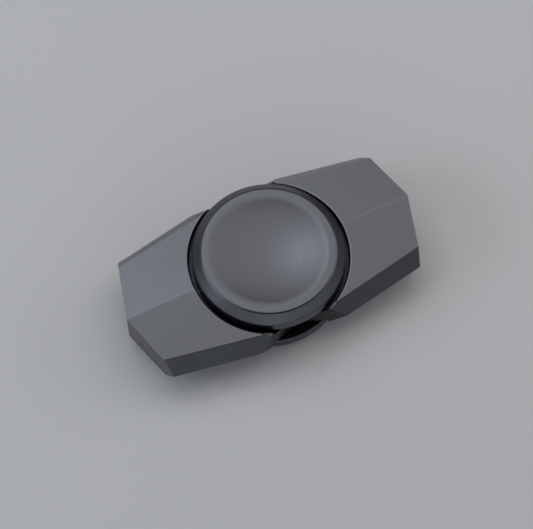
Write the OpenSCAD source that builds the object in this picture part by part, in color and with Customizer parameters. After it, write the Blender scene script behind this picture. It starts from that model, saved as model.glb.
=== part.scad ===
// Two-wing fidget spinner. A solid metal frame turns on a 608 ball bearing, between two
// dished finger caps that clamp the bearing's inner ring and are joined by a threaded stud.
// The long axis lies along X, the spin axis along Z, and the rest face at z = 0.

/* [Frame] */
// Length of the frame, tip to tip
frame_length = 60.9; // [58:0.1:64]
// Length along the frame between the corners of the two ends
corner_length = 55; // [52:0.1:56]
// Width of each end's face at its corners
end_width = 21.2; // [19:0.1:22]
// Angle at which each side widens from the end towards the middle
side_taper = 9.9; // [9:0.1:10.5]
// Thickness of the frame along its ridge
ridge_thick = 9.2; // [8.6:0.1:10]
// Fall of the top face from the ridge to the sides, in degrees
roof_slope = 2.5; // [1.5:0.1:3.5]
// How far the belt line at half height stands out from the top edge
belt_out = 2.5; // [2:0.1:3]
// Thickness of the web that holds the bearing
web_thick = 4.6; // [4:0.1:6]

/* [Waist] */
// Distance from the middle to the wing's inner corner, on the pocket's wall
waist_corner = 6; // [5.5:0.1:7.5]
// Angle of the wing's inner face to the long axis
waist_angle = 27; // [24:1:36]
// Angle at which the web's edge dips towards the middle
web_dip = 15; // [8:0.5:16]

/* [Finger caps] */
// Diameter of each cap
cap_d = 30; // [29:0.1:30.6]
// Height of the spinner, over both caps
spinner_height = 15.1; // [14.8:0.1:16]
// Width and height of the cap's bevel
cap_bevel = 1.78; // [1:0.01:2.2]
// Diameter of the finger dish
dish_d = 22.9; // [20:0.1:24]
// Depth of the finger dish
dish_depth = 1.2; // [0.8:0.1:1.5]
// Radial gap between a cap and the pocket in the frame
pocket_gap = 0.74; // [0.5:0.01:1]

/* [Bearing] */
// Number of balls
ball_count = 7; // [5:1:7]
// Diameter of a ball, 5/32 inch
ball_d = 3.969; // [3.5:0.001:3.969]
// Running clearance of a ball in each race
ball_play = 0.01; // [0.01:0.005:0.02]

/* [Hidden] */
// 608 bearing, which has fixed sizes
bearing_d = 22;
bearing_bore = 8;
bearing_width = 7;
pitch_d = 15;
race_conformity = 0.52;          // groove radius as a share of the ball's diameter
inner_land_r = 6.05;
outer_land_r = 8.95;
ring_chamfer = 0.3;
shield_seat_r = 9.55;
shield_gap = 0.2;                // gap between a shield and the inner ring
shield_thick = 0.3;
shield_z = 2.7;                  // height of a shield's inner face over the middle
clip_wire = 0.4;
clip_r = 9.55;
clip_opening = 28;               // angle that is missing from the spring clip

// Pressed steel cage
cage_sheet = 0.3;
cage_in_r = 6.45;
cage_out_r = 8.5;
cage_play = 0.08;
rivet_r = 0.35;
rivet_head_r = 0.62;
rivet_head = 0.22;

// Caps, spacers and stud
shim_thick = 0.3;
shim_out_r = 5.6;
shim_in_r = 4.05;
stem_play = 0.04;                // radial gap between a stem and the inner ring's bore
stem_gap = 0.2;                  // gap between the ends of the two stems
boss_r = 5.8;
skirt_thick = 2.4;
skirt_end = 3.2;                 // height of a cap's skirt over the middle
roof_under = 1.4;                // thickness of a cap's roof outside its dish
stud_d = 4;
stud_length = 10;
stud_pitch = 0.7;
stud_hole_end = 5.3;             // height of a cap's blind hole over the middle
hex_key = 2;
hex_depth = 1.6;

// Small edges and cutting lengths
pocket_bevel = 0.45;
bore_bevel = 0.25;
skirt_bevel = 0.25;
big = 100;
eps = 0.01;

mid = spinner_height / 2;        // height of the spinner's middle over its rest face
half_ridge = ridge_thick / 2;
pocket_r = cap_d / 2 + pocket_gap;
web_top = web_thick / 2;
bearing_face = bearing_width / 2;
boss_face = bearing_face + shim_thick;
side_turn = 90 / ball_count;     // turn that puts a gap between balls on each side
waist_y = sqrt(pocket_r * pocket_r - waist_corner * waist_corner);
web_mid_y = waist_y - waist_corner * tan(web_dip);
waist_run = 6;                   // length of the wing's inner face, past the belt line

gunmetal = [0.30, 0.31, 0.34];
steel = [0.72, 0.73, 0.75];
dark_steel = [0.45, 0.46, 0.48];

// Places its children in the row's frame: they are drawn about the spinner's middle
module at_middle() translate([0, 0, mid]) children();

// The same piece, turned over to serve the lower side
module underside() mirror([0, 0, 1]) children();

// ---- Frame ----

// Roof and floor of the frame: two slopes that meet along the ridge
module roofs() {
    rise = big * tan(roof_slope);
    rotate([90, 0, 90])
        linear_extrude(height = big, center = true)
            polygon([[0, half_ridge], [big, half_ridge - rise], [big, rise - half_ridge],
                     [0, -half_ridge], [-big, rise - half_ridge], [-big, half_ridge - rise]]);
}

// One long side of a wing: its two slants meet along the belt line
module side() {
    edge_y = end_width / 2;
    edge_z = half_ridge - edge_y * tan(roof_slope);
    run = belt_out * cos(side_taper);
    grow = 4;                    // carries the slants on past the frame's roof
    translate([corner_length / 2, edge_y, 0])
        rotate([0, 0, -side_taper])
            rotate([90, 0, 90])
                linear_extrude(height = big, center = true)
                    polygon([[run, 0], [-(grow - 1) * run, grow * edge_z],
                             [-big, grow * edge_z], [-big, -grow * edge_z],
                             [-(grow - 1) * run, -grow * edge_z]]);
}

// Plan of a wing: it ends in a blunt point
module wing_plan() {
    tip = frame_length / 2;
    back = tip - corner_length / 2;
    spread = 2;
    polygon([[0, -big], [tip - spread * back, -spread * end_width / 2], [tip, 0],
             [tip - spread * back, spread * end_width / 2], [0, big]]);
}

module wing() {
    intersection() {
        roofs();
        side();
        mirror([0, 1, 0]) side();
        linear_extrude(height = big, center = true) wing_plan();
    }
}

// Plan of the space between the wings on one side, down to the web's edge
module waist_plan() {
    far_x = waist_corner + waist_run * cos(waist_angle);
    far_y = waist_y + waist_run * sin(waist_angle);
    polygon([[0, web_mid_y], [waist_corner, waist_y], [far_x, far_y], [far_x, big],
             [-far_x, big], [-far_x, far_y], [-waist_corner, waist_y]]);
}

// Pocket for a cap, with a bevel that follows each slope of the roof
module pocket() {
    translate([0, 0, web_top]) cylinder(h = big, r = pocket_r, $fn = 128);
    for (s = [-1, 1])
        intersection() {
            translate([-big / 2, s > 0 ? 0 : -big / 2, 0]) cube([big, big / 2, big]);
            rotate([-s * roof_slope, 0, 0])
                translate([0, 0, half_ridge - pocket_bevel])
                    cylinder(h = 2 * pocket_bevel, r1 = pocket_r,
                             r2 = pocket_r + 2 * pocket_bevel, $fn = 128);
        }
}

module frame() {
    color(gunmetal)
        at_middle()
            difference() {
                union() {
                    wing();
                    mirror([1, 0, 0]) wing();
                }
                pocket();
                underside() pocket();
                for (s = [0, 1])
                    mirror([0, s, 0]) linear_extrude(height = big, center = true) waist_plan();
                cylinder(h = big, d = bearing_d, center = true, $fn = 128);
                for (s = [0, 1])
                    mirror([0, 0, s])
                        translate([0, 0, web_top - bore_bevel])
                            cylinder(h = 2 * bore_bevel, r1 = bearing_d / 2,
                                     r2 = bearing_d / 2 + 2 * bore_bevel, $fn = 128);
            }
}

// ---- Bearing ----

groove_r = race_conformity * ball_d;
inner_groove_r = pitch_d / 2 - ball_d / 2 - ball_play + groove_r;
outer_groove_r = pitch_d / 2 + ball_d / 2 + ball_play - groove_r;

module ring_profile(r_in, r_out) {
    c = ring_chamfer;
    h = bearing_face;
    polygon([[r_in + c, -h], [r_out - c, -h], [r_out, c - h], [r_out, h - c],
             [r_out - c, h], [r_in + c, h], [r_in, h - c], [r_in, c - h]]);
}

module groove(r) translate([r, 0]) circle(r = groove_r, $fn = 64);

module bearing_inner_ring() {
    color(steel)
        at_middle()
            rotate_extrude($fn = 128)
                difference() {
                    ring_profile(bearing_bore / 2, inner_land_r);
                    groove(inner_groove_r);
                }
}

module bearing_outer_ring() {
    color(steel)
        at_middle()
            rotate_extrude($fn = 128)
                difference() {
                    ring_profile(outer_land_r, bearing_d / 2);
                    groove(outer_groove_r);
                    for (s = [-1, 1]) {
                        translate([0, s > 0 ? shield_z : -big - shield_z])
                            square([shield_seat_r, big]);
                        translate([clip_r, s * (shield_z + shield_thick + clip_wire / 2)])
                            circle(d = clip_wire, $fn = 24);
                    }
                }
}

module shield() {
    color(steel)
        at_middle()
            translate([0, 0, shield_z])
                difference() {
                    cylinder(h = shield_thick, r = shield_seat_r - 0.02, $fn = 128);
                    translate([0, 0, -eps])
                        cylinder(h = big, r = inner_land_r + shield_gap, $fn = 128);
                }
}

module turned_over() translate([0, 0, 2 * mid]) underside() children();

module shield_upper() shield();
module shield_lower() turned_over() shield();

// Spring wire that snaps into the outer ring's groove and keeps the shield in
module shield_clip() {
    color(dark_steel)
        at_middle()
            translate([0, 0, shield_z + shield_thick + clip_wire / 2])
                rotate([0, 0, clip_opening / 2])
                    rotate_extrude(angle = 360 - clip_opening, $fn = 128)
                        translate([clip_r, 0]) circle(d = clip_wire - eps, $fn = 24);
}

module shield_clip_upper() shield_clip();
module shield_clip_lower() turned_over() shield_clip();

function ball_angle(i) = (i - 1) * 360 / ball_count + side_turn;

module at_ball(i) rotate([0, 0, ball_angle(i)]) translate([pitch_d / 2, 0, 0]) children();

module ball(i) color(steel) at_middle() at_ball(i) sphere(d = ball_d, $fn = 64);

module between_balls(i) rotate([0, 0, ball_angle(i) + 180 / ball_count])
    translate([pitch_d / 2, 0, 0]) children();

// Half of the ribbon cage: a flat strip, pressed into half a pocket over each ball
module cage_half() {
    pocket = ball_d / 2 + cage_play;
    color(dark_steel)
        at_middle()
            difference() {
                intersection() {
                    difference() {
                        cylinder(h = big, r = cage_out_r, $fn = 128);
                        cylinder(h = big, r = cage_in_r, center = true, $fn = 128);
                    }
                    union() {
                        cylinder(h = cage_sheet, r = big, $fn = 64);
                        for (i = [1 : ball_count])
                            at_ball(i) sphere(r = pocket + cage_sheet, $fn = 64);
                    }
                }
                for (i = [1 : ball_count]) {
                    at_ball(i) sphere(r = pocket, $fn = 64);
                    between_balls(i) cylinder(h = big, r = rivet_r, center = true, $fn = 32);
                }
            }
}

module cage_upper() cage_half();
module cage_lower() turned_over() cage_half();

module cage_rivets() {
    color(steel)
        at_middle()
            for (i = [1 : ball_count])
                between_balls(i) {
                    cylinder(h = 2 * cage_sheet, r = rivet_r, center = true, $fn = 32);
                    for (s = [0, 1])
                        mirror([0, 0, s])
                            translate([0, 0, cage_sheet])
                                cylinder(h = rivet_head, r1 = rivet_head_r,
                                         r2 = rivet_r, $fn = 32);
                }
}

// ---- Caps, spacers and stud ----

module shim() {
    color(dark_steel)
        at_middle()
            translate([0, 0, bearing_face])
                difference() {
                    cylinder(h = shim_thick, r = shim_out_r, $fn = 96);
                    cylinder(h = big, r = shim_in_r, center = true, $fn = 96);
                }
}

module shim_upper() shim();
module shim_lower() turned_over() shim();

// A turned cap: bevelled rim, shallow dish above, skirt, boss and stem below
module cap() {
    r = cap_d / 2;
    stem_r = bearing_bore / 2 - stem_play;
    cavity = mid - cap_bevel - roof_under;
    dish_r = (pow(dish_d / 2, 2) + dish_depth * dish_depth) / (2 * dish_depth);
    color(gunmetal)
        at_middle()
            difference() {
                rotate_extrude($fn = 128)
                    polygon([[0, stem_gap / 2], [stem_r - skirt_bevel, stem_gap / 2],
                             [stem_r, stem_gap / 2 + skirt_bevel], [stem_r, boss_face],
                             [boss_r, boss_face], [boss_r, cavity],
                             [r - skirt_thick, cavity], [r - skirt_thick, skirt_end],
                             [r - skirt_bevel, skirt_end], [r, skirt_end + skirt_bevel],
                             [r, mid - cap_bevel], [r - cap_bevel, mid], [0, mid]]);
                translate([0, 0, mid - dish_depth + dish_r]) sphere(r = dish_r, $fn = 128);
                translate([0, 0, -eps]) cylinder(h = stud_hole_end, d = stud_d, $fn = 48);
            }
}

module cap_upper() cap();
module cap_lower() turned_over() cap();

// Headless stud with a hexagon socket at each end; its thread is drawn as plain rings
module cap_stud() {
    turns = floor(stud_length / stud_pitch) - 1;
    root_r = stud_d / 2 - 0.61 * stud_pitch;
    start = -turns * stud_pitch / 2;
    color(dark_steel)
        at_middle()
            difference() {
                rotate_extrude($fn = 48)
                    polygon(concat(
                        [[0, -stud_length / 2], [root_r, -stud_length / 2]],
                        [for (i = [0 : turns - 1], k = [0, 1])
                            [k == 0 ? root_r : stud_d / 2 - eps,
                             start + (i + k / 2) * stud_pitch]],
                        [[root_r, start + turns * stud_pitch], [root_r, stud_length / 2],
                         [0, stud_length / 2]]));
                for (s = [0, 1])
                    mirror([0, 0, s])
                        translate([0, 0, stud_length / 2 - hex_depth])
                            cylinder(h = big, d = hex_key / cos(30), $fn = 6);
            }
}

frame();
bearing_outer_ring();
bearing_inner_ring();
shield_upper();
shield_lower();
shield_clip_upper();
shield_clip_lower();
cage_upper();
cage_lower();
cage_rivets();
for (i = [1 : ball_count])
    ball(i);
shim_upper();
shim_lower();
cap_upper();
cap_lower();
cap_stud();
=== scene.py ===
import math

import bpy
from mathutils import Matrix, Vector


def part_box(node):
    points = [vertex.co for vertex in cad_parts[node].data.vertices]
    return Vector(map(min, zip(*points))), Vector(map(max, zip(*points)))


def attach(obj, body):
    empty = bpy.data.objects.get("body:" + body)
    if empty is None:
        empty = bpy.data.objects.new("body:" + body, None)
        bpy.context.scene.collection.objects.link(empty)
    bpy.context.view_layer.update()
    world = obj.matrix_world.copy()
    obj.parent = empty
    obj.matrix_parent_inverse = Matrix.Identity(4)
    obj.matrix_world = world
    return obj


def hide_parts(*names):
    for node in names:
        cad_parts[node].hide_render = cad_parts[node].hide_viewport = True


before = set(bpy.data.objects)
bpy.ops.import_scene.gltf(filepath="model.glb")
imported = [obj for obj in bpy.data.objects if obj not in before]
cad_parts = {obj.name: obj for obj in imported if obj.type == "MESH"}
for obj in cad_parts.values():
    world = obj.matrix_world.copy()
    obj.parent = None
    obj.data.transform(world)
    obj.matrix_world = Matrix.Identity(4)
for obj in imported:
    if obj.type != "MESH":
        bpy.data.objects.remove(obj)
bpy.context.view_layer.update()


# ---- Camera ----
# A long lens looks down on the spinner from its front left, with the spinner's middle
# almost in the centre of the picture.

bottom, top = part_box("frame")
middle = Vector((0, 0, (bottom.z + top.z) / 2))

camera_azimuth = math.radians(-25.6)
camera_elevation = math.radians(67.24)
camera_distance = 0.4793
aim_right, aim_up = -0.00045, 0.00014   # how far the aim is off the spinner's middle
camera_right = Vector((math.cos(camera_azimuth), math.sin(camera_azimuth), 0))
camera_back = Vector((math.sin(camera_azimuth) * math.cos(camera_elevation),
                      -math.cos(camera_azimuth) * math.cos(camera_elevation),
                      math.sin(camera_elevation)))
camera_up = camera_back.cross(camera_right)
aim = middle + aim_right * camera_right + aim_up * camera_up

camera = bpy.data.objects.new("camera", bpy.data.cameras.new("camera"))
bpy.context.scene.collection.objects.link(camera)
camera.data.lens = 164
camera.data.sensor_width = 36
camera.data.clip_start = 0.01
turn = Matrix((camera_right, camera_up, camera_back)).transposed()
camera.matrix_world = Matrix.Translation(aim + camera_distance * camera_back) @ turn.to_4x4()
bpy.context.scene.camera = camera


# ---- Frame ----
# The body of the spinner: one bar of aluminium, milled to flat facets, with a round pocket
# for a cap on each side and a bored web between them. It is bead-blasted and anodised dark
# grey, and the bearing is pressed into its bore.

def only(piece):
    """Makes the piece the only selected one, and the active one."""
    for other in bpy.context.selected_objects:
        other.select_set(False)
    piece.select_set(True)
    bpy.context.view_layer.objects.active = piece


def named(name):
    """Names the object that an operator has just added."""
    piece = bpy.context.active_object
    piece.name = name
    piece.data.name = name
    only(piece)
    return piece


def apply_all(piece):
    """Applies the piece's modifiers in order, and moves its place into its mesh."""
    only(piece)
    for modifier in list(piece.modifiers):
        bpy.ops.object.modifier_apply(modifier=modifier.name)
    bpy.ops.object.transform_apply(location=True, rotation=True, scale=True)


def slice_off(point, normal):
    """In edit mode, cuts away what lies beyond a plane and closes the cut."""
    bpy.ops.mesh.select_all(action="SELECT")
    bpy.ops.mesh.bisect(plane_co=point, plane_no=Vector(normal).normalized(), use_fill=True,
                        clear_outer=True, threshold=1e-8)


def cut_with(piece, cutter):
    """Takes the cutter's volume out of the piece, and removes the cutter."""
    apply_all(cutter)
    cut = piece.modifiers.new("cut", "BOOLEAN")
    cut.operation = "DIFFERENCE"
    cut.solver = "EXACT"
    cut.object = cutter
    apply_all(piece)
    bpy.data.objects.remove(cutter)


def choose_edges(piece, wanted):
    """In edit mode, selects the edges for which wanted(end, end) is true."""
    bpy.ops.mesh.select_mode(type="EDGE")
    bpy.ops.mesh.select_all(action="DESELECT")
    bpy.ops.object.mode_set(mode="OBJECT")
    points = piece.data.vertices
    for edge in piece.data.edges:
        a, b = edge.vertices
        edge.select = bool(wanted(points[a].co, points[b].co))
    bpy.ops.object.mode_set(mode="EDIT")


def soften_edges(piece, width, angle, segments=3):
    """Rounds every edge that is sharper than the angle, and keeps flat faces flat."""
    soft = piece.modifiers.new("soft edges", "BEVEL")
    soft.width = width
    soft.segments = segments
    soft.limit_method = "ANGLE"
    soft.angle_limit = math.radians(angle)
    soft.use_clamp_overlap = True
    soft.miter_outer = "MITER_ARC"
    flat = piece.modifiers.new("flat faces", "WEIGHTED_NORMAL")
    flat.keep_sharp = True
    only(piece)
    bpy.ops.object.shade_smooth_by_angle(angle=math.radians(2 * angle))
    apply_all(piece)


tip_x = top.x
thick = top.z - bottom.z
corner_x = 0.0275                     # place along the frame of each end's corners
corner_y = 0.0106                     # half the width of an end at its corners
side_taper = math.radians(9.9)        # how the sides widen from the ends to the middle
roof_slope = math.radians(2.5)        # fall of the top face from the ridge to the sides
belt_out = 0.0025                     # how far the belt line stands out from the top edge
web_half = 0.0023                     # half the thickness of the web
pocket_r = 0.01574
pocket_edge = 0.0005                  # width of the rounding at the pocket's mouth
bearing_r = 0.011
ridge_flat = 0.00016                  # half the width of the flat along the ridge
soft_edge = 0.00015                   # width of the other rounded edges
waist_corner = 0.006                  # wing's inner corner, on the pocket's wall
waist_angle = math.radians(27)        # angle of the wing's inner face to the long axis
waist_far = 0.006                     # length of that face, past the belt line
web_dip = math.radians(15)            # angle at which the web's edge dips to the middle
past_wall = 0.00005                   # how far the waist's cut runs on into the pocket
stock_width = 0.05
past_stock = 0.03                     # past the bar in any direction
round_steps = 192

bpy.ops.mesh.primitive_cube_add(size=1, location=middle, scale=(2 * tip_x, stock_width, thick))
bar = named("spinner_frame")
bpy.ops.object.transform_apply(location=True, rotation=True, scale=True)
bpy.ops.object.mode_set(mode="EDIT")
edge_rise = thick / 2 - corner_y * math.tan(roof_slope)
belt_run = belt_out * math.cos(side_taper)
for y in (-1, 1):
    for z in (-1, 1):
        slice_off(middle + Vector((0, 0, z * thick / 2)),
                  (0, y * math.sin(roof_slope), z * math.cos(roof_slope)))
for z in (-1, 1):
    slice_off(middle + Vector((0, 0, z * (thick / 2 - ridge_flat * math.tan(roof_slope)))),
              (0, 0, z))
for x in (-1, 1):
    for y in (-1, 1):
        out = Vector((x * math.sin(side_taper), y * math.cos(side_taper), 0))
        belt = middle + Vector((x * corner_x, y * corner_y, 0)) + belt_run * out
        for z in (-1, 1):
            slice_off(belt, edge_rise * out + Vector((0, 0, z * belt_run)))
        slice_off(middle + Vector((x * tip_x, 0, 0)), (x * corner_y, y * (tip_x - corner_x), 0))
bpy.ops.object.mode_set(mode="OBJECT")

for z in (-1, 1):
    above_web = Vector((0, 0, z * (web_half + past_stock / 2)))
    bpy.ops.mesh.primitive_cylinder_add(
        vertices=round_steps, radius=pocket_r, depth=past_stock, location=middle + above_web,
        rotation=(0, 0, math.pi / round_steps))
    cut_with(bar, named("pocket_cutter"))
waist_y = math.sqrt(pocket_r ** 2 - waist_corner ** 2)
flank = Vector((math.cos(waist_angle), math.sin(waist_angle)))
corner = Vector((waist_corner, waist_y)) - past_wall * flank
far = corner + waist_far * flank
for y in (-1, 1):
    bpy.ops.mesh.primitive_circle_add(vertices=6, radius=0.01, fill_type="NGON")
    cutter = named("waist_cutter")
    plan = [(0, waist_y - waist_corner * math.tan(web_dip)), corner, far, (0, past_stock),
            (-far.x, far.y), (-corner.x, corner.y)]
    for vertex, (px, py) in zip(cutter.data.vertices, plan):
        vertex.co = (px, y * py, 0)
    bpy.ops.object.mode_set(mode="EDIT")
    bpy.ops.mesh.select_all(action="SELECT")
    bpy.ops.mesh.extrude_region_move(TRANSFORM_OT_translate={"value": (0, 0, past_stock)})
    bpy.ops.mesh.select_all(action="SELECT")
    bpy.ops.mesh.normals_make_consistent(inside=False)
    bpy.ops.object.mode_set(mode="OBJECT")
    cut_with(bar, cutter)
bpy.ops.mesh.primitive_cylinder_add(vertices=128, radius=bearing_r, depth=past_stock,
                                    location=middle)
cut_with(bar, named("bore_cutter"))


def on_pocket_rim(a, b):
    """True for an edge of the pocket's mouth, which runs round on the roof or a side."""
    return all(abs(math.hypot(p.x, p.y) - pocket_r) < 2e-5
               and abs(p.z - middle.z) > web_half + 2e-4 for p in (a, b)) \
        and math.hypot(a.x - b.x, a.y - b.y) > 1e-6


only(bar)
bpy.ops.object.mode_set(mode="EDIT")
choose_edges(bar, on_pocket_rim)
bpy.ops.mesh.bevel(offset=pocket_edge, offset_type="OFFSET", segments=6, affect="EDGES",
                   clamp_overlap=False)
bpy.ops.object.mode_set(mode="OBJECT")
soften_edges(bar, soft_edge, 20)

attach(bar, "rotor")
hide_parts("frame")


def add_node(tree, kind, **settings):
    """Adds a shader node of a kind, with its settings."""
    node = tree.nodes.new("ShaderNode" + kind)
    for setting, value in settings.items():
        setattr(node, setting, value)
    return node


def feed(tree, socket, value):
    """Links another node's output to a socket, or sets a plain number on it."""
    if isinstance(value, bpy.types.NodeSocket):
        tree.links.new(value, socket)
    else:
        socket.default_value = value


def split(tree, vector):
    """Splits a vector into its X, Y and Z."""
    node = add_node(tree, "SeparateXYZ")
    tree.links.new(vector, node.inputs[0])
    return node.outputs


def mix_colors(tree, mask, first, second):
    """Mixes two colors by a mask. Each is another node's output or three plain numbers."""
    node = add_node(tree, "Mix", data_type="RGBA")
    tree.links.new(mask, node.inputs["Factor"])
    for title, color in (("A", first), ("B", second)):
        plain = not isinstance(color, bpy.types.NodeSocket)
        feed(tree, node.inputs[title], (*color, 1) if plain else color)
    return node.outputs["Result"]


def tint(tree, color, shade):
    """Makes a plain color lighter or darker by a value."""
    node = add_node(tree, "VectorMath", operation="SCALE")
    node.inputs[0].default_value = color
    tree.links.new(shade, node.inputs["Scale"])
    return node.outputs["Vector"]


def calculate(tree, operation, *values):
    """Adds a Math node and returns its result."""
    node = add_node(tree, "Math", operation=operation)
    for socket, value in zip(node.inputs, values):
        feed(tree, socket, value)
    return node.outputs["Value"]


def spread(tree, value, low, high, new_low, new_high):
    """Maps a value from one range to another, smoothly, and holds it at both ends."""
    node = add_node(tree, "MapRange", interpolation_type="SMOOTHSTEP")
    for socket, number in zip(node.inputs, (value, low, high, new_low, new_high)):
        feed(tree, socket, number)
    return node.outputs["Result"]


def noise(tree, place, scale, detail=2, dimensions="3D"):
    """Adds a noise texture and returns its value, from about 0.2 to 0.8."""
    node = add_node(tree, "TexNoise", noise_dimensions=dimensions)
    feed(tree, node.inputs["W" if dimensions == "1D" else "Vector"], place)
    feed(tree, node.inputs["Scale"], scale)
    node.inputs["Detail"].default_value = detail
    return node.outputs["Fac"]


def start_group(name, inputs, outputs):
    """Starts a node group with named number inputs and outputs."""
    group = bpy.data.node_groups.new(name, "ShaderNodeTree")
    for title, value in inputs.items():
        socket = group.interface.new_socket(title, in_out="INPUT",
                                            socket_type="NodeSocketFloat")
        socket.default_value = value
    for title in outputs:
        group.interface.new_socket(title, in_out="OUTPUT", socket_type="NodeSocketFloat")
    return group, group.nodes.new("NodeGroupInput").outputs


def end_group(group, **results):
    """Links the results to the group's outputs."""
    ending = group.nodes.new("NodeGroupOutput")
    for title, value in results.items():
        group.links.new(value, ending.inputs[title])


def use_group(tree, name, **values):
    """Places a group in a material with its own values, and returns its outputs."""
    node = add_node(tree, "Group", node_tree=bpy.data.node_groups[name])
    for title, value in values.items():
        feed(tree, node.inputs[title], value)
    return node.outputs


# Blasted grain: the fine dimples that glass beads leave, and cloudy patches in the dye
grain, given = start_group("blasted grain", {"Cell": 0.0001, "Patch": 0.008},
                           ("Height", "Tone"))
place = add_node(grain, "TexCoord").outputs["Object"]
fine = noise(grain, place, calculate(grain, "DIVIDE", 1, given["Cell"]), 3)
cloud = noise(grain, place, calculate(grain, "DIVIDE", 1, given["Patch"]), 4)
end_group(grain, Height=fine, Tone=calculate(
    grain, "ADD", calculate(grain, "MULTIPLY", fine, 0.6),
    calculate(grain, "MULTIPLY", cloud, 0.4)))

# Turning marks: fine rings round the spin axis, which follow a piece's faces and sides
turning, given = start_group("turning marks", {"Pitch": 0.0001, "Middle": 0.0},
                             ("Height", "Tone"))
place = add_node(turning, "TexCoord").outputs["Object"]
parts = split(turning, place)
flat = add_node(turning, "CombineXYZ")
turning.links.new(parts["X"], flat.inputs["X"])
turning.links.new(parts["Y"], flat.inputs["Y"])
reach = add_node(turning, "VectorMath", operation="LENGTH")
turning.links.new(flat.outputs[0], reach.inputs[0])
height = calculate(turning, "ABSOLUTE",
                   calculate(turning, "SUBTRACT", parts["Z"], given["Middle"]))
along = calculate(turning, "DIVIDE",
                  calculate(turning, "SUBTRACT", reach.outputs["Value"], height),
                  given["Pitch"])
fine = noise(turning, along, 1, 1, "1D")
broad = noise(turning, calculate(turning, "DIVIDE", along, 6), 1, 3, "1D")
end_group(turning, Height=fine, Tone=calculate(
    turning, "ADD", calculate(turning, "MULTIPLY", fine, 0.5),
    calculate(turning, "MULTIPLY", broad, 0.5)))

# Edge wear and painted highlight: a mask that is 1 along outer edges, broken up where hands rub
# less
wear, given = start_group("edge wear and highlight", {"Width": 0.00015, "Amount": 0.5}, ("Mask",))
rounded = add_node(wear, "Bevel", samples=4)
wear.links.new(given["Width"], rounded.inputs["Radius"])
facing = add_node(wear, "VectorMath", operation="DOT_PRODUCT")
wear.links.new(rounded.outputs["Normal"], facing.inputs[0])
wear.links.new(add_node(wear, "NewGeometry").outputs["Normal"], facing.inputs[1])
bend = spread(wear, calculate(wear, "SUBTRACT", 1, facing.outputs["Value"]), 0.01, 0.12, 0, 1)
patches = spread(wear, noise(wear, add_node(wear, "TexCoord").outputs["Object"], 900, 4),
                 0.35, 0.65, 0.35, 1)
end_group(wear, Mask=calculate(wear, "MULTIPLY", calculate(wear, "MULTIPLY", bend, patches),
                               given["Amount"]))


def metal(name, color, edge_wear_and_highlight_color, roughness, tone=0.06, rough_tone=0.15, bump=0.3,
          bump_height=0.00001, wear=0.3, wear_width=0.00012, group="blasted grain", **values):
    """A metal with a group's grain or marks, whose edges wear and take a painted highlight."""
    material = bpy.data.materials.new(name)
    material.use_nodes = True
    tree = material.node_tree
    shader = tree.nodes["Principled BSDF"]
    shader.inputs["Metallic"].default_value = 1
    marks = use_group(tree, group, **values)
    edge_wear_and_highlight = use_group(tree, "edge wear and highlight", Width=wear_width, Amount=wear)["Mask"]
    dyed = tint(tree, color, spread(tree, marks["Tone"], 0.25, 0.75, 1 - tone, 1 + tone))
    tree.links.new(mix_colors(tree, edge_wear_and_highlight, dyed, edge_wear_and_highlight_color), shader.inputs["Base Color"])
    tree.links.new(spread(tree, marks["Tone"], 0.25, 0.75, roughness * (1 - rough_tone),
                          roughness * (1 + rough_tone)), shader.inputs["Roughness"])
    relief = add_node(tree, "Bump")
    relief.inputs["Strength"].default_value = bump
    relief.inputs["Distance"].default_value = bump_height
    tree.links.new(marks["Height"], relief.inputs["Height"])
    tree.links.new(relief.outputs["Normal"], shader.inputs["Normal"])
    return material


def finish_with(piece, material):
    """Gives a piece or a CAD node its one material."""
    piece.data.materials.clear()
    piece.data.materials.append(material)


# The frame's edges are lightened strongly: partly edge wear, partly a painted highlight.
frame_metal = metal("blasted anodised aluminium", (0.097, 0.1005, 0.111), (0.3, 0.3, 0.32),
                    0.3, tone=0.06, bump=0.25, bump_height=0.00001, wear=0.8,
                    wear_width=0.00018, Cell=0.00014, Patch=0.006)
tree = frame_metal.node_tree
shader = tree.nodes["Principled BSDF"]
place = split(tree, add_node(tree, "TexCoord").outputs["Object"])
upward = calculate(tree, "ABSOLUTE", split(
    tree, add_node(tree, "NewGeometry").outputs["Normal"])["Z"])
along = calculate(tree, "ABSOLUTE", place["X"])
across = calculate(tree, "ABSOLUTE", place["Y"])
radius = calculate(tree, "SQRT", calculate(
    tree, "ADD", calculate(tree, "POWER", place["X"], 2),
    calculate(tree, "POWER", place["Y"], 2)))

# Painted shade: the pockets and the waist's flanks are painted nearly black, with the cutter's
# rings
waist = calculate(tree, "MULTIPLY", spread(tree, upward, 0.05, 0.15, 0.9, 0),
                  spread(tree, along, 0.012, 0.013, 1, 0))
pocket = spread(tree, radius, pocket_r + 0.00002, pocket_r + 0.00012, 1, 0)
inside = calculate(tree, "MAXIMUM", pocket, waist)
rings = use_group(tree, "turning marks", Pitch=0.00014, Middle=middle.z)
black = tint(tree, (0.022, 0.022, 0.025), spread(tree, rings["Tone"], 0.25, 0.75, 0.8, 1.2))
outer_color = shader.inputs["Base Color"].links[0].from_socket
with_painted_shade = mix_colors(tree, inside, outer_color, black)

# Painted highlights: the rounding at the pocket's mouth and a band along the ridge are painted
# lighter
mouth = calculate(tree, "MULTIPLY", spread(tree, upward, 0.3, 0.6, 0, 0.5), calculate(
    tree, "MULTIPLY", spread(tree, radius, pocket_r + 0.0001, pocket_r + 0.0002, 0, 1),
    spread(tree, radius, pocket_r + 0.00036, pocket_r + pocket_edge, 1, 0)))
ridge_highlight = calculate(tree, "MULTIPLY", spread(tree, upward, 0.9, 0.95, 0, 0.08),
                  spread(tree, across, ridge_flat, ridge_flat + 0.00012, 1, 0))
with_painted_highlights = mix_colors(tree, calculate(tree, "MAXIMUM", mouth, ridge_highlight), with_painted_shade,
                      (0.26, 0.265, 0.28))
tree.links.new(with_painted_highlights, shader.inputs["Base Color"])

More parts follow.
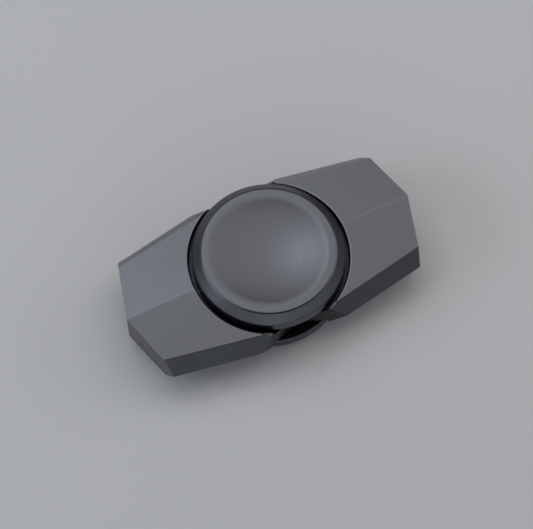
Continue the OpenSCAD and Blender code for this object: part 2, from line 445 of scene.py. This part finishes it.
relief = shader.inputs["Normal"].links[0].from_node
blend = add_node(tree, "Mix", data_type="FLOAT")
tree.links.new(inside, blend.inputs["Factor"])
tree.links.new(relief.inputs["Height"].links[0].from_socket, blend.inputs["A"])
tree.links.new(rings["Height"], blend.inputs["B"])
tree.links.new(blend.outputs["Result"], relief.inputs["Height"])
finish_with(bar, frame_metal)


# ---- Finger caps ----
# Two equal caps, turned from aluminium bar and anodised like the frame: a flat rim round a
# shallow dish for the fingertip, a bevel, and a hollow underside with a boss that bears on
# the inner ring. Each cap's stem sits in the ring's bore.

def turned(name, profile, steps=round_steps):
    """Spins a profile of (radius, height) points about the spin axis."""
    bpy.ops.mesh.primitive_plane_add(size=0.001)
    piece = named(name)
    bpy.ops.object.mode_set(mode="EDIT")
    bpy.ops.mesh.select_mode(type="VERT")
    bpy.ops.mesh.select_all(action="SELECT")
    bpy.ops.mesh.merge(type="CENTER")
    here = Vector((profile[0][0], 0, profile[0][1]))
    bpy.ops.transform.translate(value=here)
    for r, z in profile[1:]:
        there = Vector((r, 0, z))
        bpy.ops.mesh.extrude_region_move(TRANSFORM_OT_translate={"value": there - here})
        here = there
    bpy.ops.mesh.select_all(action="SELECT")
    bpy.ops.mesh.spin(steps=steps, angle=2 * math.pi, center=(0, 0, 0), axis=(0, 0, 1))
    bpy.ops.mesh.select_all(action="SELECT")
    bpy.ops.mesh.remove_doubles(threshold=1e-7)
    bpy.ops.mesh.normals_make_consistent(inside=False)
    bpy.ops.object.mode_set(mode="OBJECT")
    return piece


cap_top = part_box("cap_upper")[1]
cap_r = cap_top.x
half_height = cap_top.z - middle.z
cap_bevel = 0.00178
dish_r = 0.01145
dish_depth = 0.0012
dish_rings = 40
lip = 0.0006                          # half the width of the dish's rounded lip
cap_edge = 0.00024                    # width of the caps' rounded edges
skirt_thick = 0.0024
skirt_end = 0.0032                    # heights of the ends over the spinner's middle
boss_r = 0.0058
boss_end = 0.0038
stem_r = 0.00396
stem_end = 0.0001
roof_thick = 0.0014
roof_under = half_height - cap_bevel - roof_thick


def dish_height(r):
    """Height of the cap's top at a radius: a shallow dish with a rounded lip."""
    curve = (dish_r ** 2 + dish_depth ** 2) / (2 * dish_depth)
    inner = dish_r - lip
    if r <= inner:
        return curve - math.sqrt(curve ** 2 - r ** 2) - dish_depth
    start = curve - math.sqrt(curve ** 2 - inner ** 2) - dish_depth
    slope = inner / math.sqrt(curve ** 2 - inner ** 2)
    t = min((r - inner) / (2 * lip), 1)      # a smooth curve from the dish to the flat rim
    return start * (1 + 2 * t) * (1 - t) ** 2 + slope * 2 * lip * t * (1 - t) ** 2


outline = [(0, stem_end), (stem_r, stem_end), (stem_r, boss_end), (boss_r, boss_end),
           (boss_r, roof_under), (cap_r - skirt_thick, roof_under),
           (cap_r - skirt_thick, skirt_end), (cap_r, skirt_end),
           (cap_r, half_height - cap_bevel), (cap_r - cap_bevel, half_height)]
for i in range(dish_rings + 1):
    r = (dish_r + lip) * (1 - i / dish_rings)
    outline.append((r, half_height + dish_height(r)))


def turned_over(piece, name):
    """Copies a piece of the upper side to the spinner's lower side."""
    only(piece)
    bpy.ops.object.duplicate()
    copy = named(name)
    bpy.ops.object.mode_set(mode="EDIT")
    bpy.ops.mesh.select_all(action="SELECT")
    bpy.ops.transform.mirror(constraint_axis=(False, False, True), center_override=middle)
    bpy.ops.mesh.flip_normals()
    bpy.ops.object.mode_set(mode="OBJECT")
    return copy


def fit_in(piece, body, node):
    """Puts a finished piece on its body, in the place of its CAD node."""
    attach(piece, body)
    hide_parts(node)


# The caps' edges are lightened strongly: partly edge wear, partly a painted highlight on the
# rim.
cap_metal = metal("turned anodised aluminium", (0.097, 0.1005, 0.111), (0.3, 0.3, 0.32), 0.3,
                  tone=0.045, rough_tone=0.1, bump=0.2, bump_height=0.000008, wear=0.8,
                  group="turning marks", Pitch=0.00013, Middle=middle.z)
cap = turned("upper_cap", [(r, middle.z + z) for r, z in outline])
lower_cap = turned_over(cap, "lower_cap")
for piece, node in ((cap, "cap_upper"), (lower_cap, "cap_lower")):
    soften_edges(piece, cap_edge, 20, 4)
    finish_with(piece, cap_metal)
    fit_in(piece, "grip", node)


# ---- Bearing rings ----
# The rings of the 608 ball bearing: hardened chrome steel, ground all over and then honed
# in the grooves that the balls run in. The outer ring is pressed into the frame, and the
# caps clamp the inner one.

ball_r = 0.0019845
ball_play = 0.00001
pitch_r = 0.0075
bearing_half = 0.0035
bearing_bore = 0.004
inner_land = 0.00605
outer_land = 0.00895
ring_chamfer = 0.0003
groove_r = 1.04 * ball_r
seat_r = 0.00955                      # seat of each shield, in the outer ring
ring_edge = 0.00004
shield_z = 0.0027
shield_thick = 0.0003
wire_r = 0.0002
clip_z = shield_z + shield_thick + wire_r


def arc(r, z, radius, start, end, steps=12):
    """Points of an arc about (r, z), from one angle in degrees to another."""
    turns = [math.radians(start + (end - start) * i / steps) for i in range(steps + 1)]
    return [(r + radius * math.cos(t), z + radius * math.sin(t)) for t in turns]


def turned_ring(name, outline, softness):
    """Turns a closed outline, drawn about the spinner's middle, and softens its edges."""
    ring = turned(name, [(r, middle.z + z) for r, z in outline + outline[:1]])
    soften_edges(ring, softness, 20)
    return ring


outer_groove = pitch_r + ball_r + ball_play - groove_r
reach = math.degrees(math.acos((outer_land - outer_groove) / groove_r))
outer_ring = turned_ring("outer_ring", [
    (outer_land, -shield_z), *arc(outer_groove, 0, groove_r, -reach, reach),
    (outer_land, shield_z), (seat_r, shield_z), *arc(seat_r, clip_z, wire_r, -90, 90),
    (seat_r, bearing_half), (bearing_r - ring_chamfer, bearing_half),
    (bearing_r, bearing_half - ring_chamfer), (bearing_r, ring_chamfer - bearing_half),
    (bearing_r - ring_chamfer, -bearing_half), (seat_r, -bearing_half),
    *arc(seat_r, -clip_z, wire_r, -90, 90), (seat_r, -shield_z)], ring_edge)
inner_groove = pitch_r - ball_r - ball_play + groove_r
reach = math.degrees(math.acos((inner_groove - inner_land) / groove_r))
inner_ring = turned_ring("inner_ring", [
    (bearing_bore + ring_chamfer, -bearing_half), (inner_land - ring_chamfer, -bearing_half),
    (inner_land, ring_chamfer - bearing_half),
    *arc(inner_groove, 0, groove_r, 180 + reach, 180 - reach),
    (inner_land, bearing_half - ring_chamfer), (inner_land - ring_chamfer, bearing_half),
    (bearing_bore + ring_chamfer, bearing_half), (bearing_bore, bearing_half - ring_chamfer),
    (bearing_bore, ring_chamfer - bearing_half)], ring_edge)

ring_steel = metal("ground bearing steel", (0.52, 0.52, 0.53), (0.62, 0.62, 0.63), 0.2,
                   bump=0.15, wear=0.5, wear_width=0.00006, group="turning marks",
                   Pitch=0.00005, Middle=middle.z)
for ring, body, node in ((outer_ring, "rotor", "bearing_outer_ring"),
                         (inner_ring, "grip", "bearing_inner_ring")):
    finish_with(ring, ring_steel)
    fit_in(ring, body, node)


# ---- Balls ----
# Seven lapped chrome steel balls, close to a mirror finish, with a thin film of oil. They
# stand evenly round the pitch circle, with a gap between two of them on each side.

ball_count = 7
ball_steel = metal("lapped ball steel", (0.6, 0.6, 0.61), (0.64, 0.64, 0.65), 0.07,
                   tone=0.02, rough_tone=0.5, bump=0.02, wear=0, Cell=0.0004, Patch=0.0012)
ball_places = []
for i in range(ball_count):
    turn = math.radians((i + 0.25) * 360 / ball_count)
    ball_places.append(Vector((pitch_r * math.cos(turn), pitch_r * math.sin(turn), 0)))
    bpy.ops.mesh.primitive_uv_sphere_add(segments=48, ring_count=24, radius=ball_r,
                                         location=middle + ball_places[-1])
    ball = named(f"bearing_ball_{i + 1}")
    bpy.ops.object.shade_smooth()
    apply_all(ball)
    finish_with(ball, ball_steel)
    fit_in(ball, f"ball_{i + 1}", f"ball_{i + 1}")


# ---- Shields and their clips ----
# Pressed steel discs that keep dust out of the bearing, thicker at the flange. A ring of
# spring wire, snapped into the outer ring's groove, holds each of them.

shield_steel = metal("pressed shield steel", (0.44, 0.44, 0.45), (0.52, 0.52, 0.53), 0.3,
                     bump=0.25, wear=0.4, wear_width=0.00006, group="turning marks",
                     Pitch=0.00016, Middle=middle.z)
spring_steel = metal("drawn spring steel", (0.3, 0.3, 0.31), (0.4, 0.4, 0.41), 0.3,
                     bump=0.3, wear=0.4, wear_width=0.00004, group="turning marks",
                     Pitch=0.00007, Middle=middle.z)
hole_r = 0.00625
flange_r = 0.009
shield_r = 0.00953
shield_edge = 0.00003
wire_play = 0.00001                   # gap between the wire and its groove
step = 0.00005                        # how far the disc lies in from the flange's faces
clip_opening = math.radians(28)
profile = [(hole_r, shield_z + step), (flange_r - 3 * step, shield_z + step),
           (flange_r, shield_z), (shield_r, shield_z),
           (shield_r, shield_z + shield_thick), (flange_r, shield_z + shield_thick),
           (flange_r - 3 * step, shield_z + shield_thick - step),
           (hole_r, shield_z + shield_thick - step)]
for side, z in (("upper", 1), ("lower", -1)):
    shield = turned_ring(side + "_shield", [(r, z * height) for r, height in profile],
                         shield_edge)
    finish_with(shield, shield_steel)
    fit_in(shield, "rotor", "shield_" + side)
    start = Vector((math.cos(clip_opening / 2), math.sin(clip_opening / 2), 0))
    bpy.ops.mesh.primitive_circle_add(
        vertices=16, radius=wire_r - wire_play, fill_type="NGON",
        location=middle + seat_r * start + Vector((0, 0, z * clip_z)),
        rotation=(math.pi / 2, 0, clip_opening / 2))
    clip = named(side + "_clip")
    apply_all(clip)
    bpy.ops.object.mode_set(mode="EDIT")
    bpy.ops.mesh.select_all(action="SELECT")
    bpy.ops.mesh.spin(steps=120, angle=2 * math.pi - clip_opening, center=(0, 0, 0),
                      axis=(0, 0, 1))
    bpy.ops.mesh.select_all(action="SELECT")
    bpy.ops.mesh.normals_make_consistent(inside=False)
    bpy.ops.object.mode_set(mode="OBJECT")
    bpy.ops.object.shade_smooth_by_angle(angle=math.radians(40))
    finish_with(clip, spring_steel)
    fit_in(clip, "rotor", "shield_clip_" + side)


# ---- Cage ----
# A ribbon cage that keeps the balls apart: two stamped steel rings, each with half a pocket
# over every ball, tumbled smooth and riveted together between the balls.

cage_in, cage_out = 0.00645, 0.0085   # radii of the ribbon's inner and outer edges
cage_sheet = 0.0003
cage_play = 0.00008
cage_pocket_r = ball_r + cage_play
bend_start, bend_end = 0.93 * cage_pocket_r, 1.12 * cage_pocket_r
cage_rings, cage_steps = 14, 252


def pocket_height(away):
    """Height of the cage's inner face at a distance from a ball's centre, in plan."""
    if away >= bend_end:
        return 0
    if away <= bend_start:
        return math.sqrt(cage_pocket_r ** 2 - away ** 2)
    start = math.sqrt(cage_pocket_r ** 2 - bend_start ** 2)
    run = bend_end - bend_start
    t = (away - bend_start) / run
    fall = -bend_start / start * run
    return start * (1 + 2 * t) * (1 - t) ** 2 + fall * t * (1 - t) ** 2


cage_steel = metal("tumbled cage steel", (0.34, 0.34, 0.34), (0.46, 0.46, 0.46), 0.36,
                   tone=0.12, bump=0.4, wear=0.6, wear_width=0.00008, Cell=0.00014,
                   Patch=0.002)
widths = [cage_in + (cage_out - cage_in) * i / cage_rings for i in range(cage_rings + 1)]
upper_cage = turned("upper_cage", [(r, middle.z) for r in widths], cage_steps)
for vertex in upper_cage.data.vertices:
    away = min(math.dist(vertex.co.xy, place.xy) for place in ball_places)
    vertex.co.z = middle.z + pocket_height(away)
bpy.ops.object.mode_set(mode="EDIT")
bpy.ops.mesh.select_all(action="SELECT")
bpy.ops.mesh.normals_make_consistent(inside=False)
bpy.ops.object.mode_set(mode="OBJECT")
if sum(face.normal.z for face in upper_cage.data.polygons) < 0:
    upper_cage.data.flip_normals()
sheet = upper_cage.modifiers.new("sheet", "SOLIDIFY")
sheet.thickness = cage_sheet
sheet.offset = 1
apply_all(upper_cage)
lower_cage = turned_over(upper_cage, "lower_cage")
for piece, side in ((upper_cage, "upper"), (lower_cage, "lower")):
    only(piece)
    bpy.ops.object.shade_smooth_by_angle(angle=math.radians(40))
    finish_with(piece, cage_steel)
    fit_in(piece, "cage", "cage_" + side)

rivet_r, rivet_head_r, rivet_top = 0.00035, 0.00062, 0.00052
dome = [(rivet_r, cage_sheet), (rivet_head_r, cage_sheet), (0.95 * rivet_head_r, 0.0004),
        (0.7 * rivet_head_r, 0.00048), (0.35 * rivet_head_r, 0.00051), (0, rivet_top)]
rivets = turned("rivets", [(r, -z) for r, z in reversed(dome)] + dome, 24)
half_gap = math.radians(180 / ball_count)
first_gap = math.atan2(ball_places[0].y, ball_places[0].x) + half_gap
bpy.ops.object.mode_set(mode="EDIT")
bpy.ops.mesh.select_all(action="SELECT")
bpy.ops.transform.translate(value=middle + pitch_r * Vector((math.cos(first_gap),
                                                             math.sin(first_gap), 0)))
bpy.ops.mesh.spin(steps=ball_count - 1, angle=2 * math.pi - 2 * half_gap, dupli=True,
                  center=(0, 0, 0), axis=(0, 0, 1))
bpy.ops.object.mode_set(mode="OBJECT")
bpy.ops.object.shade_smooth_by_angle(angle=math.radians(40))
finish_with(rivets, cage_steel)
fit_in(rivets, "cage", "cage_rivets")


# ---- Shims ----
# Two thin ground washers between the caps' bosses and the inner ring. They keep the caps
# clear of the parts that spin.

shim_in, shim_out, shim_top = 0.00405, 0.0056, 0.0038
shim_steel = metal("ground shim steel", (0.4, 0.4, 0.41), (0.5, 0.5, 0.51), 0.26,
                   bump=0.2, wear=0.4, wear_width=0.00006, group="turning marks",
                   Pitch=0.00009, Middle=middle.z)
for side, z in (("upper", 1), ("lower", -1)):
    shim = turned_ring(side + "_shim", [
        (shim_in, z * bearing_half), (shim_out, z * bearing_half), (shim_out, z * shim_top),
        (shim_in, z * shim_top)], ring_edge)
    finish_with(shim, shim_steel)
    fit_in(shim, "grip", "shim_" + side)


# ---- Stud ----
# A headless M4 screw in black oxide, with a rolled thread and a hexagon socket at each end.
# It draws the two caps together through the bearing.

stud_r, stud_root, stud_half = 0.00199, 0.001573, 0.005
stud_pitch = 0.0007
socket_across, socket_depth = 0.002, 0.0016
stud_rows, stud_steps = 114, 48
levels = [stud_half * (2 * i / stud_rows - 1) for i in range(stud_rows + 1)]
stud = turned("stud", [(0, middle.z - stud_half)] + [(stud_root, middle.z + z) for z in levels]
              + [(0, middle.z + stud_half)], stud_steps)
for vertex in stud.data.vertices:
    x, y, z = vertex.co - middle
    if math.hypot(x, y) > stud_root / 2:
        phase = (z / stud_pitch - math.atan2(y, x) / (2 * math.pi)) % 1
        crest = min(max(1.3 * (1 - abs(2 * phase - 1)) - 0.1, 0), 1)   # flat at both ends
        r = min(stud_root + (stud_r - stud_root) * crest, stud_root + stud_half - abs(z))
        vertex.co.x, vertex.co.y = x * r / stud_root, y * r / stud_root
for z in (-1, 1):
    bpy.ops.mesh.primitive_cylinder_add(
        vertices=6, radius=socket_across / 2 / math.cos(math.radians(30)),
        depth=2 * socket_depth, location=middle + Vector((0, 0, z * stud_half)))
    cut_with(stud, named("socket_cutter"))
only(stud)
bpy.ops.object.shade_smooth_by_angle(angle=math.radians(50))
stud_steel = metal("black oxide steel", (0.03, 0.03, 0.032), (0.22, 0.22, 0.22), 0.42,
                   tone=0.2, bump=0.4, wear=0.8, wear_width=0.00006, Cell=0.00006,
                   Patch=0.001)
finish_with(stud, stud_steel)
fit_in(stud, "grip", "cap_stud")


# ---- Floor and light ----
# A pale matt floor, and a small studio: softboxes overhead, at both sides and in front, and
# dim light from the walls. The upper front wall is dark, where the camera stands.

bpy.ops.mesh.primitive_plane_add(size=4, location=(0, 0, 0))
floor = named("floor")
pale = bpy.data.materials.new("pale floor")
pale.use_nodes = True
paper = pale.node_tree.nodes["Principled BSDF"]
paper.inputs["Base Color"].default_value = (0.57, 0.57, 0.57, 1)
paper.inputs["Roughness"].default_value = 0.9
floor.data.materials.append(pale)

world = bpy.data.worlds.new("studio")
bpy.context.scene.world = world
world.use_nodes = True
room = world.node_tree
backdrop = room.nodes["Background"]
toward = add_node(room, "TexCoord").outputs["Generated"]
rise = split(room, toward)["Z"]
nearness = add_node(room, "VectorMath", operation="DOT_PRODUCT")
room.links.new(toward, nearness.inputs[0])
nearness.inputs[1].default_value = (math.sin(camera_azimuth), -math.cos(camera_azimuth), 0)


def wall_light(*levels):
    """Light of the studio's walls, as (sine of the height, level) from the floor up."""
    ramp = add_node(room, "ValToRGB")
    room.links.new(rise, ramp.inputs["Fac"])
    for at, level in levels[1:-1]:
        ramp.color_ramp.elements.new(at)
    for stop, (at, level) in zip(ramp.color_ramp.elements, levels):
        stop.color = (0.96 * level, level, 1.06 * level, 1)
    return ramp.outputs["Color"]


behind = wall_light((0, 0.05), (0.25, 0.5), (0.5, 0.1), (1, 0.02))
front = wall_light((0, 0.03), (0.25, 0.72), (0.5, 0.7), (0.66, 0.05), (0.95, 0.05), (1, 0.74))
walls = mix_colors(room, spread(room, nearness.outputs["Value"], -0.5, 0.5, 0, 1), behind,
                   front)
room.links.new(walls, backdrop.inputs["Color"])


lamp_distance = 0.6


def softbox(name, azimuth, elevation, width, height, radiance, color=(1, 1, 1)):
    """A rectangular lamp that faces the spinner. Its radiance is what a mirror would show."""
    lamp = bpy.data.lights.new(name, "AREA")
    lamp.shape = "RECTANGLE"
    lamp.size = width
    lamp.size_y = height
    lamp.energy = radiance * math.pi * width * height
    lamp.color = color
    a, e = math.radians(azimuth), math.radians(elevation)
    back = Vector((math.sin(a) * math.cos(e), -math.cos(a) * math.cos(e), math.sin(e)))
    side = Vector((math.cos(a), math.sin(a), 0))
    turn = Matrix((side, back.cross(side), back)).transposed()
    box = bpy.data.objects.new(name, lamp)
    box.matrix_world = Matrix.Translation(middle + lamp_distance * back) @ turn.to_4x4()
    bpy.context.scene.collection.objects.link(box)


view = math.degrees(camera_azimuth)   # the lamps' places are given from the camera's side
cool = (0.88, 0.96, 1.08)
softbox("overhead softbox", view + 175, 67, 1.02, 0.45, 1.27)
softbox("left softbox", view + 208, 64, 0.14, 0.1, 2.85, cool)
softbox("upper left softbox", view + 290, 60, 0.16, 0.16, 2.2)
softbox("low left softbox", view + 280, 30, 0.38, 0.19, 2.9, cool)
softbox("right softbox", view + 107, 28, 0.44, 0.12, 2.0)
softbox("front softbox", view + 4, 8, 0.3, 0.1, 1.9, cool)

bpy.context.scene.view_settings.view_transform = "Standard"
